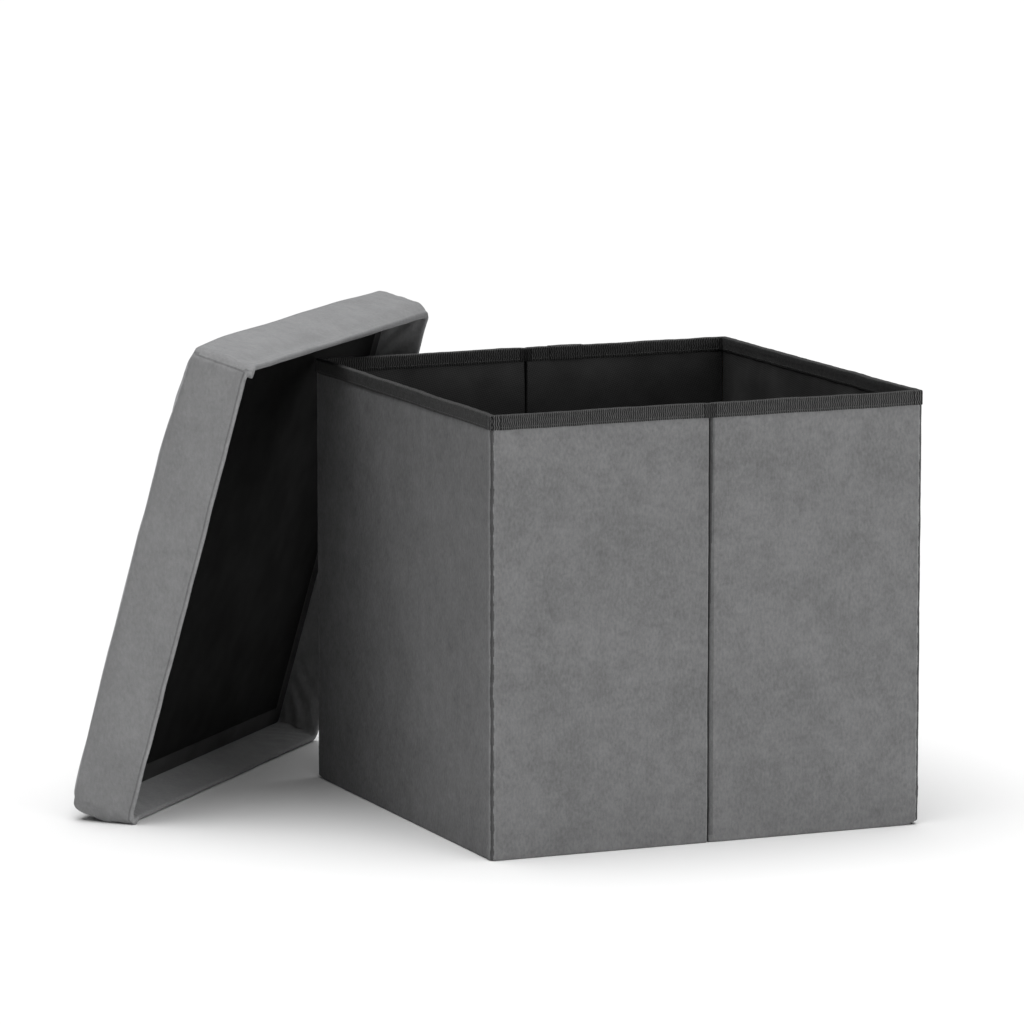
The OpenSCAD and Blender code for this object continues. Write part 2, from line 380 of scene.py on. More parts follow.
# A darker lining for the tray's middle panel: painted shade in the tray
LID_LINING = woven("lid_lining", 0.002, 0.006, 1.5 * MM, 0.9, 0.12 * MM, 0.5, 0.12)
CLOTH = woven("bottom_cloth", 0.008, 0.02, 1.1 * MM, 0.8, 0.1 * MM)
BINDING = ribbed("binding", 0.001, 0.105)
PLAIN_TAPE = ribbed("binding_plain", 0.004, 0.045)
# A lighter copy of the binding for the top of the tape: painted highlight
TAPE_HIGHLIGHT = ribbed("binding_painted_highlight", 0.02, 0.10)
BOARD, FOAM, STEEL, THREAD = board_look(), foam_look(), steel_look(), thread_look()


def dress(obj, material):
    """Gives a piece its look."""
    obj.data.materials.clear()
    obj.data.materials.append(material)
    return obj


for name, node in frame["nodes"].items():
    node.data.materials.clear()
    node.data.materials.append(STEEL if "nails" in name else BOARD)


# ---- The box's cloth ----

def paint_shade_and_highlight(obj, columns, *tests):
    """Paints light and shade beside a seam on a grid's faces (i, j): the dark painted shade, a mid painted
    shade or a painted highlight, by the first of the tests that holds. A test of None is left out."""
    for look in (SEAM_SHADE, SHADED, LIT):
        obj.data.materials.append(look)
    for n, face in enumerate(obj.data.polygons):
        at = divmod(n, columns)
        face.material_index = next((m for m, test in enumerate(tests, 1) if test and test(*at)), 0)


# (x sign, y sign, mm by which its hem is lifted) of each corner, from the front left round
CORNERS = ((-1, -1, 0.8), (1, -1, 4.2), (1, 1, 3.0), (-1, 1, 3.0))


def settle(p):
    """Lifts the hem at the box's soft corners."""
    p = p.copy()
    x, y, z = p[..., 0], p[..., 1], p[..., 2]
    lift = 0
    for sx, sy, high in CORNERS:
        far = np.hypot(x - sx * HALF, y - sy * HALF)
        lift = lift + high * MM * np.clip(1 - far / (13 * MM), 0, 1) ** 1.6
    p[..., 2] = z + lift * np.clip(1 - z / (22 * MM), 0, 1)
    return p


def slack(p, seed):
    """How far the velvet stands proud of its wall."""
    return (0.30 * ripple(p, 70 * MM, seed) + 0.14 * ripple(p, 22 * MM, seed + 1)
            + 0.05 * ripple(p, 8 * MM, seed + 2)) * MM


FOOT = 1.6 * MM                # radius of a hem's foot
FINE = 28 * MM                 # the walls' rows lie closer below this height
CLOTH_TOP = TOP - 1.2 * MM     # the velvet ends here, under the binding


def fold_path(a, b, roll, deep):
    """(s, d) along a half's velvet from its corner piece at a to the fold near b, rolled inward."""
    sign = 1 if b > a else -1
    turn = np.linspace(0, math.pi / 2, 10)
    near = b - sign * 14 * MM
    flat = np.concatenate([steps(a, near, 3.5 * MM)[:-1], steps(near, b - sign * roll, 1.2 * MM)])
    s = np.concatenate([flat[:-1], b - sign * roll + sign * roll * np.sin(turn), [b, b]])
    d = np.concatenate([np.zeros(len(flat) - 1), -deep * (1 - np.cos(turn)),
                        [-deep - 0.6 * MM, -WALL + 0.9 * MM]])
    return s, d


def foot_path():
    """(z, d) down a hem: from the wall, round its foot and inward underneath."""
    turn = np.linspace(0, math.pi / 2, 8)
    down = steps(HEM, FOOT, 1 * MM)[:-1]
    z = np.concatenate([down, FOOT - FOOT * np.sin(turn), [0.1 * MM, 0.5 * MM]])
    d = np.concatenate([np.zeros(len(down)), -FOOT * (1 - np.cos(turn)),
                        [-FOOT - 1.0 * MM, -WALL + 0.3 * MM]])
    return z, d


def skin(k, s, d_s, z, d_z):
    """Velvet of side k over paths (s, d_s) along and (z, d_z) up the wall, with its slack."""
    S, Z = np.meshgrid(s, z, indexing="ij")
    D = d_s[:, None] + d_z[None, :]
    flat = face_point(k, S, Z, 0)
    edge = smoothstep(np.abs(S), HALF - 5 * MM, HALF - 22 * MM)
    low = smoothstep(Z, 0, 26 * MM)
    high = smoothstep(Z, TAPE + 2 * MM, TAPE - 16 * MM)
    proud = slack(flat, 11 + k) * edge * low * high
    proud = proud + 0.25 * MM * edge * high * smoothstep(Z, 2 * MM, 30 * MM)
    # the velvet is drawn in a little where the binding's seam holds it
    proud = proud - 0.25 * MM * dip(Z - TAPE, 3 * MM)
    return settle(face_point(k, S, Z, D + proud))


def finer_ends(a, b, low, high, inside):
    """Places from a to b: 2 mm apart at both ends, as far as low and high, wider inside."""
    return np.concatenate([steps(a, low, 2 * MM)[:-1], steps(low, high, inside)[:-1], steps(high, b, 2 * MM)])


def facing(row, side):
    """1 for the half that lies beyond the fold along its own face, -1 for the one before it."""
    return (-1 if side == "left" else 1) * (1 if row == "front" else -1)


UP = finer_ends(HEM, CLOTH_TOP, FINE, TAPE - 16 * MM, 4 * MM)
STRAIGHT = np.zeros(len(UP))
DOWN = foot_path()
SIDES = {"front": 0, "right": 1, "back": 2, "left": 3}

for side in ("left", "right"):
    k = SIDES[side]
    s = finer_ends(-A, A, -A + 14 * MM, A - 14 * MM, 4 * MM)
    piece = grid(f"{side}_wall_velvet", skin(k, s, np.zeros(len(s)), UP, STRAIGHT))
    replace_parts(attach(dress(piece, VELVET), f"{side}_side"), f"{side}_velvet")
    hem = grid(f"{side}_wall_hem", skin(k, s, np.zeros(len(s)), *DOWN), flip=True)
    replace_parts(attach(dress(hem, VELVET), f"{side}_side"), f"{side}_hem")
    if side == "right":
        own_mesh(hem)

for row, k in (("front", 0), ("back", 2)):
    for side in ("left", "right"):
        sign = facing(row, side)
        roll, deep = (1.1 * MM, 1.3 * MM) if sign < 0 else (4.2 * MM, 2.2 * MM)
        s, d = fold_path(sign * A, sign * FOLD, roll, deep)
        body = f"{row}_{side}_half"
        piece = grid(f"{row}_{side}_wall_velvet", skin(k, s, d, UP, STRAIGHT), flip=sign > 0)
        dress(piece, VELVET)
        # Painted light and shade at the fold: the darkest velvet in a band that wavers and widens towards the
        # top, a mid shade over the wide roll, and a highlight on the other half's crisp edge
        gap = np.abs(s[:-1] + s[1:]) / 2 - FOLD
        uneven_edge = ripple(np.column_stack([STRAIGHT, STRAIGHT, UP]), 30 * MM, 91)
        wide = 0.2 + 1.5 * smoothstep(UP, 150 * MM, 320 * MM) + 0.4 * uneven_edge
        soft = 1.0 if sign > 0 else 0.0
        paint_shade_and_highlight(piece, len(UP) - 1,
             lambda i, j: gap[i] < (0.25 + soft * wide[j]) * MM,
             lambda i, j: gap[i] < soft * 3.8 * MM,
             lambda i, j: sign < 0 and gap[i] < 1.5 * MM)
        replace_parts(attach(piece, body), f"{row}_{side}_velvet")
        hem = grid(f"{row}_{side}_wall_hem", skin(k, s, d, *DOWN), flip=sign < 0)
        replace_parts(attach(dress(hem, VELVET), body), f"{row}_{side}_hem")
        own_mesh(hem)

# The web of velvet at the bottom of each fold, nearly black: painted shade in the gap between the halves
for row, k in (("front", 0), ("back", 2)):
    s = steps(-FOLD - 0.5 * MM, FOLD + 0.5 * MM, 0.425 * MM)
    S, Z = np.meshgrid(s, steps(1.5 * MM, TOP - 1.5 * MM, 6 * MM), indexing="ij")
    web = grid(f"{row}_fold_web", face_point(k, S, Z, -0.3 * MM - 2.1 * MM * np.abs(S / FOLD) ** 1.5))
    dress(web, FOLD_SHADE)
    y = -HALF if row == "front" else HALF
    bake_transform(web)


# ---- Corner seams: a sunk seam between the rolled edges of two walls ----

def corner_plan():
    """(p, q) round a corner: how far its velvet is drawn in from each of the two faces."""
    one = [(8, 0), (6.5, -0.05), (5.2, -0.30), (4.2, -0.60), (3.5, -0.45), (3.1, 0.20), (2.8, 0.50),
           (2.0, 0.52), (1.3, 0.50), (0.75, 0.75)]
    both = np.array(one + [(q, p) for p, q in one[-2::-1]]) * MM
    t = np.linspace(0, len(both) - 1, 45)
    rows = np.stack([np.interp(t, np.arange(len(both)), both[:, c]) for c in (0, 1)], 1)
    for _ in range(2):
        rows[1:-1] = (rows[:-2] + 2 * rows[1:-1] + rows[2:]) / 4
    return rows


PLAN = corner_plan()


def corner_strip(sx, sy, z, d_z, seed):
    """Points round the corner at (sx, sy) * HALF. d_z draws the strip in, as at its foot."""
    T, Z = np.meshgrid(np.linspace(-1, 1, len(PLAN)), z, indexing="ij")
    line = np.stack([np.zeros_like(Z), np.zeros_like(Z), Z], -1)
    amount = 1 + 0.45 * ripple(line, 26 * MM, seed) + 0.25 * ripple(line, 7 * MM, seed + 1)
    shift = 0.35 * MM * ripple(line, 40 * MM, seed + 2) * np.cos(T * math.pi / 2) ** 2
    p = PLAN[:, None, 0] + shift + 0 * Z
    q = PLAN[:, None, 1] - shift + 0 * Z
    fade = np.minimum(1, (1 - np.abs(T)) * 6)
    near = np.where(T < 0, q, p)
    extra = np.clip(near, 0, None) * (amount - 1) * fade * 0.3
    p = p + extra - d_z[None, :] * (T > -0.02)
    q = q + extra - d_z[None, :] * (T < 0.02)
    x, y = sx * (HALF - p), sy * (HALF - q)
    return settle(np.stack([x, y, Z], -1))


# (z, d) up a corner piece: round its foot, then up to the binding
foot = np.concatenate([DOWN[0][::-1], UP[1:]])
corner_z = np.concatenate([foot[foot < FINE], steps(FINE, CLOTH_TOP, 2 * MM)])
corner_d = np.concatenate([DOWN[1][::-1], np.zeros(len(corner_z) - len(DOWN[1]))])

for (sx, sy, _), seed in zip(CORNERS, (31, 41, 51, 61)):
    row, side = "front" if sy < 0 else "back", "left" if sx < 0 else "right"
    body, half = f"{side}_side", f"{row}_{side}_half"
    points = corner_strip(sx, sy, corner_z, corner_d, seed)
    strip = grid(f"{row}_{side}_corner_velvet", points, flip=sx * sy < 0)
    dress(strip, VELVET)
    middle = (len(PLAN) - 2) / 2
    # Painted shade in the corner seam's groove, its width wavering up the corner, and painted highlight on
    # the rolled edges either side
    paint_shade_and_highlight(strip, len(corner_z) - 1,
         lambda i, j: abs(i - middle) < 6.3 + 1.6 * math.sin(j * 0.9) * math.sin(j * 0.37),
         None,
         lambda i, j: abs(i - middle) < 13)
    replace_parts(strip, f"{row}_{side}_corner_seam")
    if (row, side) == ("back", "right"):
        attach(strip, body)
    else:
        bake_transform(strip)


# ---- Binding over the rim ----

def tape_section():
    """(d, z) across the tape, from its outer lower edge over the rim to its inner lower edge."""
    out, inn = TAPE_T, -WALL - TAPE_T
    pts = [(0.05 * MM, TAPE - 0.15 * MM), (out * 0.8, TAPE)]
    pts += [(out, TAPE + h * MM) for h in (0.5, 2, 4, 6, 8)] + [(out, TOP - 1.4 * MM)]
    pts += [(out - 0.12 * MM, TOP - 0.6 * MM), (out - 0.6 * MM, TOP - 0.1 * MM), (out - 1.6 * MM, TOP)]
    pts += [(inn + 1.6 * MM, TOP), (inn + 0.6 * MM, TOP - 0.1 * MM), (inn + 0.12 * MM, TOP - 0.6 * MM)]
    pts += [(inn, TOP - 1.4 * MM)] + [(inn, TAPE + h * MM) for h in (6, 4, 2, 0.5)]
    pts += [(inn + 0.2 * MM, TAPE), (-WALL - 0.05 * MM, TAPE - 0.15 * MM)]
    return np.array(pts)


SECTION = tape_section()


def uneven(p, d, z):
    """The tape's own waviness: (outward, upward) moves at points p."""
    outer = np.where(d > -WALL / 2, 1.0, -1.0)
    out = 0.16 * MM * ripple(p, 30 * MM, 71) * outer
    level = p * (1, 1, 0)
    up = 0.30 * MM * ripple(level, 60 * MM, 72) + 0.12 * MM * ripple(level, 14 * MM, 73)
    return out, up * smoothstep(z, TAPE + 4 * MM, TOP) + 0.8 * up * smoothstep(z, TAPE + 4 * MM, TAPE)


def tape_on(k, s, crease=0.0, thicker=0.0):
    """The tape along side k, pinched by the crease at the middle of the side."""
    S = np.repeat(s[:, None], len(SECTION), 1)
    D = np.repeat(SECTION[None, :, 0], len(s), 0)
    Z = np.repeat(SECTION[None, :, 1], len(s), 0)
    outer = np.where(D > -WALL / 2, 1.0, -1.0)
    D = D + thicker * outer
    Z = Z + thicker * (Z > TOP - 1 * MM)
    flat = face_point(k, S, Z, D)
    out, up = uneven(flat, D, Z)
    pinch = crease * dip(S, 2.2 * MM)
    return face_point(k, S, Z + up - 0.5 * pinch, D + out - pinch * outer)


def tape_corner(sx, sy):
    """The tape round a corner: each line of it keeps its own square corner, eased outside."""
    t = np.linspace(-1, 1, 25)
    T = np.repeat(t[:, None], len(SECTION), 1)
    D = np.repeat(SECTION[None, :, 0], len(t), 0)
    Z = np.repeat(SECTION[None, :, 1], len(t), 0)
    ease = np.clip(D + 1.6 * MM, 0.15 * MM, None)
    far = HALF + D
    run = np.abs(T) * (far - A)
    cut = np.clip(ease * 1.2 - run, 0, None) ** 2 / (ease * 2.4)
    x = np.where(T > 0, far - run, far - cut)
    y = np.where(T > 0, far - cut, far - run)
    p = np.stack([sx * x, sy * y, Z], -1)
    out, up = uneven(p, D, Z)
    way = np.stack([sx * np.where(T > 0, 0.35, 1.0), sy * np.where(T > 0, 1.0, 0.35), np.zeros_like(T)], -1)
    fade = np.abs(T)
    p = p + way * (out * fade)[..., None]
    p[..., 2] += up
    return p


for side in ("left", "right"):
    k = SIDES[side]
    tape = grid(f"{side}_tape", tape_on(k, steps(-A, A, 3 * MM)))
    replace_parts(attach(dress(tape, BINDING), f"{side}_side"), f"{side}_binding")

MID = 5 * MM       # half the length of the tape that bends at a fold
for row, k in (("front", 0), ("back", 2)):
    for side in ("left", "right"):
        sign = facing(row, side)
        tape = grid(f"{row}_{side}_tape", tape_on(k, np.sort(steps(sign * A, sign * MID, 3 * MM))))
        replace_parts(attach(dress(tape, BINDING), f"{row}_{side}_half"), f"{row}_{side}_binding")
    middle = grid(f"{row}_fold_tape", tape_on(k, steps(-MID, MID, 0.5 * MM), crease=0.7 * MM))
    dress(middle, PLAIN_TAPE)
    y = -HALF if row == "front" else HALF
    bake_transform(middle)

for sx, sy, _ in CORNERS:
    row, side = "front" if sy < 0 else "back", "left" if sx < 0 else "right"
    tape = grid(f"{row}_{side}_corner_tape", tape_corner(sx, sy), flip=sx * sy < 0)
    dress(tape, BINDING)
    if (row, side) == ("back", "right"):
        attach(tape, "right_side")
    else:
        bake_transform(tape)

# The tape's ends overlap on the back wall
overlap = grid("tape_overlap", tape_on(2, steps(-0.052, -0.022, 1.5 * MM), thicker=0.45 * MM))
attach(dress(overlap, BINDING), "back_right_half")


# ---- Stitches ----

def stitches(name, line, pitch, long, thick):
    """Thread showing along a line of points (n, 3): short rounded stitches that follow it."""
    run = np.concatenate([[0], np.cumsum(np.linalg.norm(np.diff(line, axis=0), axis=1))])
    points, faces = [], []
    ring = [(math.cos(a), math.sin(a)) for a in np.linspace(0, 2 * math.pi, 6, endpoint=False)]
    for c in range(int(run[-1] / pitch)):
        places = [(c + 0.5) * pitch + e * long for e in (-0.5, -0.3, 0.3, 0.5)]
        ends = [np.array([np.interp(at, run, line[:, i]) for i in range(3)]) for at in places]
        way = Vector(ends[3] - ends[0]).normalized()
        side = way.orthogonal().normalized()
        other = way.cross(side)
        base = len(points)
        for e, r in zip(ends, (0.35, 1, 1, 0.35)):
            for ca, sa in ring:
                points.append(Vector(e) + (side * ca + other * sa) * (r * thick / 2))
        for start in (base, base + 6, base + 12):
            for j in range(6):
                n = (j + 1) % 6
                faces.append((start + j, start + n, start + 6 + n, start + 6 + j))
        faces.append(tuple(base + j for j in range(5, -1, -1)))
        faces.append(tuple(base + 18 + j for j in range(6)))
    return make(name, points, faces)


def tape_line(k, s, inner):
    """The line of the stitches along the tape of side k, outside or inside the box."""
    d = -WALL - TAPE_T - 0.05 * MM if inner else TAPE_T + 0.05 * MM
    D, Z = np.full(len(s), d), np.full(len(s), TAPE + SEW)
    p = face_point(k, s, Z, D)
    out, up = uneven(p, D, Z)
    return face_point(k, s, Z + up, D + out)


SEW = 2.0 * MM                                # from the tape's lower edge up to its stitches
TAPE_SEWING = (3.2 * MM, 2.3 * MM, 0.42 * MM)    # pitch, length and thickness of its stitches
for side in ("left", "right"):
    k = SIDES[side]
    for inner, tail in ((False, ""), (True, "_inner")):
        line = tape_line(k, steps(-A, A, 2 * MM), inner)
        sewn = stitches(f"{side}_tape_stitches{tail}", line, *TAPE_SEWING)
        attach(dress(sewn, THREAD), f"{side}_side")
for row, k in (("front", 0), ("back", 2)):
    for side in ("left", "right"):
        sign = facing(row, side)
        for inner, tail in ((False, ""), (True, "_inner")):
            line = tape_line(k, np.sort(steps(sign * A, sign * MID, 2 * MM)), inner)
            sewn = stitches(f"{row}_{side}_tape_stitches{tail}", line, *TAPE_SEWING)
            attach(dress(sewn, THREAD), f"{row}_{side}_half")


# ---- Lining of the walls ----

def lining_sheet(k, s, d_s, seed):
    """The lining of side k over a path (s, d_s) along the wall, a little slack."""
    near = TAPE - 6 * MM
    z = np.concatenate([steps(HEM, near, 5 * MM)[:-1], steps(near, TAPE + 3 * MM, 1.5 * MM)])
    S, Z = np.meshgrid(s, z, indexing="ij")
    flat = face_point(k, S, Z, 0)
    hold = smoothstep(Z, TAPE + 2 * MM, TAPE - 20 * MM) * smoothstep(Z, HEM, 40 * MM)
    edge = smoothstep(HALF - WALL - np.abs(S), 0, 14 * MM)
    stretched = flat * (1, 1, 0.35)
    loose = 0.75 + 0.75 * ripple(stretched, 60 * MM, seed) + 0.35 * ripple(stretched, 24 * MM, seed + 1)
    loose = np.clip(loose * MM, 0, 2.2 * MM) * hold * edge * smoothstep(-d_s[:, None], 3 * MM, 0)
    return face_point(k, S, Z, -WALL - loose - d_s[:, None])


for side in ("left", "right"):
    k = SIDES[side]
    s = steps(-HALF + WALL + 0.2 * MM, HALF - WALL - 0.2 * MM, 4 * MM)
    sheet = grid(f"{side}_wall_lining", lining_sheet(k, s, np.zeros(len(s)), 81 + k), flip=True)
    # The right wall's lining takes the lighter copy: painted light
    dress(sheet, LIT_LINING if side == "right" else LINING)
    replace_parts(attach(sheet, f"{side}_side"), f"{side}_lining")
for row, k in (("front", 0), ("back", 2)):
    for side in ("left", "right"):
        sign = facing(row, side)
        turn = np.linspace(0, math.pi / 2, 7)
        r = 1.6 * MM
        flat = steps(sign * (HALF - WALL - 0.3 * MM), sign * (FOLD + r), 4 * MM)
        s = np.concatenate([flat[:-1], sign * (FOLD + r) - sign * r * np.sin(turn), [sign * FOLD]])
        d = np.concatenate([np.zeros(len(flat) - 1), -r * (1 - np.cos(turn)), [-r - 1.2 * MM]])
        points = lining_sheet(k, s, d, 91 + k + (sign > 0))
        sheet = grid(f"{row}_{side}_wall_lining", points, flip=sign < 0)
        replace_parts(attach(dress(sheet, LINING), f"{row}_{side}_half"), f"{row}_{side}_lining")


# ---- Base cover and bottom cloth ----

def flat_pad(name, half, low, high, radius, sag, seed, step=6 * MM):
    """A thin covered board: rounded edges, and cloth that lies a little unevenly on top."""
    turn = np.linspace(0, math.pi / 2, 6)
    s = steps(-half + radius, half - radius, step)
    edge = np.append(half - radius + radius * np.sin(turn[1:]), half + 0.02 * MM)
    drop = np.append(radius * (1 - np.cos(turn[1:])), 0.9 * (high - low))
    full = np.concatenate([-edge[::-1], s, edge])
    fall = np.concatenate([drop[::-1], np.zeros(len(s)), drop])
    X, Y = np.meshgrid(full, full, indexing="ij")
    F = np.maximum(fall[:, None], fall[None, :])
    P = np.stack([X, Y, np.full_like(X, high)], -1)
    wave = sag * (0.5 * ripple(P, 80 * MM, seed) + 0.3 * ripple(P, 26 * MM, seed + 1)) - sag * 0.6
    wave *= smoothstep(half - np.maximum(np.abs(X), np.abs(Y)), 0, 12 * MM)
    P[..., 2] += wave - F
    top = grid(name + "_top", P)
    Q = P.copy()
    Q[..., 2] = low + np.minimum(F, (high - low) / 2) * 0.6
    under = grid(name + "_under", Q, flip=True)
    return join(name, [top, under])


base_low, base_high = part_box("base_cover")
base = flat_pad("base_cover_cloth", base_high.x + 0.3 * MM, base_low.z, base_high.z + 0.4 * MM,
                radius=0.9 * MM, sag=0.35 * MM, seed=101)
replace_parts(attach(dress(base, LINING), "left_side"), "base_cover")
cloth_low, cloth_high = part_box("bottom_cloth")
under = flat_pad("bottom_sheet", cloth_high.x + 1.2 * MM, cloth_low.z + 0.1 * MM,
                 cloth_high.z - 0.05 * MM, radius=0.3 * MM, sag=0.1 * MM, seed=111, step=9 * MM)
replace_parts(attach(dress(under, CLOTH), "left_side"), "bottom_cloth")


# ---- Lid, in its worn frame, then stood in its place ----

N = 76                            # quads along each side of the lid
RING = 4 * N                      # points in a ring round it
SPREAD = math.pi / 2 * 0.86       # sets how much closer they lie near the corners
LINE = np.sin(np.linspace(-1, 1, N + 1) * SPREAD) / math.sin(SPREAD)


def loop(half, radius):
    """RING points round a square with rounded corners, spaced as the top's own grid is."""
    t = LINE[:-1]
    ring = [(x, -1.0) for x in t] + [(1.0, y) for y in t]
    ring += [(-x, -y) for x, y in ring]
    return round_off(np.array(ring) * half, half, radius)


def round_off(q, half, radius):
    """Pulls points of a square towards a rounded-corner square of the same size."""
    q = q.copy()
    core = half - radius
    out = np.clip(np.abs(q) - core, 0, None)
    far = np.maximum(out[:, 0], out[:, 1])
    length = np.hypot(out[:, 0], out[:, 1])
    scale = np.where(length > 1e-9, far / np.maximum(length, 1e-9), 1)
    return np.sign(q) * (np.minimum(np.abs(q), core) + out * scale[:, None])


ROLL = 12                         # rings of the roll from the skirts on to the crown


def lid_rings():
    """(half width, corner radius in mm, z in mm) from the tray, round the hem, to the crown."""
    rings = [(SKIRT_IN, 4, z) for z in (36.9, 35.6, *range(33, 8, -3), 6.5, 4.5)]
    r = (LID - SKIRT_IN) / 2
    for a in np.linspace(0, math.pi, 11)[1:-1]:
        rings.append((LID - r - r * math.cos(a), 4 + 3.0 * a / math.pi, 2.6 - 2.5 * math.sin(a)))
    rings += [(LID - 0.35 * MM, 7, 3.2), (LID, 7, 4.5)]
    rings += [(LID, 7, z) for z in (6.5, *range(9, 31, 3), 32.5, 35.5, 38.5, 41.5, 44.5)]
    for a in np.linspace(0, 1, ROLL + 1)[1:]:
        turn = a * math.radians(82)
        rings.append((LID - 16 * MM * (1 - math.cos(turn)), 7 + 9 * a, 47.5 + 15.2 * math.sin(turn)))
    return rings


RINGS = lid_rings()


def ring_points(half, radius, z):
    return np.column_stack([loop(half, radius * MM), np.full(RING, z * MM)])


def cap_points(half, radius, z, rise, power):
    """The inner points of the grid that closes a ring: level at its edge, swollen between."""
    X, Y = np.meshgrid(LINE, LINE, indexing="ij")
    flat = np.stack([X, Y], -1).reshape(-1, 2) * half
    depth = 1 - np.maximum(np.abs(X), np.abs(Y)).reshape(-1)
    rounded = round_off(flat, half, radius * MM)
    flat = flat + (rounded - flat) * smoothstep(depth, 0.16, 0)[:, None]
    bulge = ((1 - np.abs(X) ** 2.6) * (1 - np.abs(Y) ** 2.6)).reshape(-1)
    cap = np.column_stack([flat, z * MM + rise * np.clip(bulge, 0, 1) ** power])
    return cap.reshape(N + 1, N + 1, 3)[1:N, 1:N].reshape(-1, 3)


def cap_index(i, j, rings):
    """The vertex of the closing grid at (i, j), on the last ring where it meets it."""
    last = (rings - 1) * RING
    if j == 0 and i < N:
        return last + i
    if i == N and j < N:
        return last + N + j
    if j == N and i > 0:
        return last + 2 * N + (N - i)
    if i == 0 and j > 0:
        return last + 3 * N + (N - j)
    return rings * RING + (i - 1) * (N - 1) + (j - 1)


def closed_faces(rings):
    """The quads of a stack of rings and of the grid that closes its last one."""
    faces = []
    for r in range(rings - 1):
        for i in range(RING):
            a, b = r * RING + i, r * RING + (i + 1) % RING
            faces.append((a, b, b + RING, a + RING))
    for i in range(N):
        for j in range(N):
            around = ((i, j), (i + 1, j), (i + 1, j + 1), (i, j + 1))
            faces.append(tuple(cap_index(*at, rings) for at in around))
    return faces


# The lid's velvet as one cloth: skirts inside and out, and the crown
RINGS = lid_rings()
half, radius, z = RINGS[-1]
crown_points = cap_points(half, radius, z, (CROWN - z * MM) * 0.80, 0.55)
shell = np.concatenate([ring_points(*ring) for ring in RINGS] + [crown_points])
cover = make("lid_velvet_cover", shell, closed_faces(len(RINGS)))
bm = bmesh.new()
bm.from_mesh(cover.data)
bmesh.ops.recalc_face_normals(bm, faces=bm.faces)
bm.to_mesh(cover.data)
bm.free()


def coords(obj):
    co = np.zeros(len(obj.data.vertices) * 3)
    obj.data.vertices.foreach_get("co", co)
    return co.reshape(-1, 3)


def set_coords(obj, co):
    obj.data.vertices.foreach_set("co", co.astype(np.float32).ravel())
    obj.data.update()


def swell(obj, hold, pressure, frames, cap):
    """Cloth pressure on a cover. It moves by cap at most, and least where hold is near 1."""
    start = coords(obj)
    group = obj.vertex_groups.new(name="held")
    hold = np.round(hold, 2)
    for level in np.unique(hold[hold > 0]):
        group.add([int(i) for i in np.nonzero(hold == level)[0]], float(level), "REPLACE")
    cloth = obj.modifiers.new("swell", "CLOTH")
    s = cloth.settings
    s.quality, s.mass, s.air_damping = 7, 0.3, 4
    s.tension_stiffness = s.compression_stiffness = 18
    s.shear_stiffness, s.bending_stiffness = 6, 0.6
    s.use_pressure, s.uniform_pressure_force = True, pressure
    s.vertex_group_mass, s.pin_stiffness = "held", 1.0
    s.effector_weights.gravity = 0
    cloth.collision_settings.use_collision = False
    cloth.point_cache.frame_start, cloth.point_cache.frame_end = 1, frames
    for f in range(1, frames + 1):
        scene.frame_set(f)
    done = obj.evaluated_get(bpy.context.evaluated_depsgraph_get())
    end = np.zeros(len(start) * 3)
    done.data.vertices.foreach_get("co", end)
    end = end.reshape(-1, 3)
    obj.modifiers.remove(cloth)
    obj.vertex_groups.clear()
    move = end - start
    far = np.linalg.norm(move, axis=1, keepdims=True)
    move *= np.minimum(1, cap / np.maximum(far, 1e-9))
    set_coords(obj, start + move)
    scene.frame_set(1)


hold = np.where(np.arange(len(shell)) < (len(RINGS) - ROLL) * RING, 1.0, 0.0)
hold = np.maximum(hold, 0.9 * smoothstep(shell[:, 2], 57 * MM, 47 * MM))
swell(cover, hold, pressure=4.0, frames=20, cap=6 * MM)


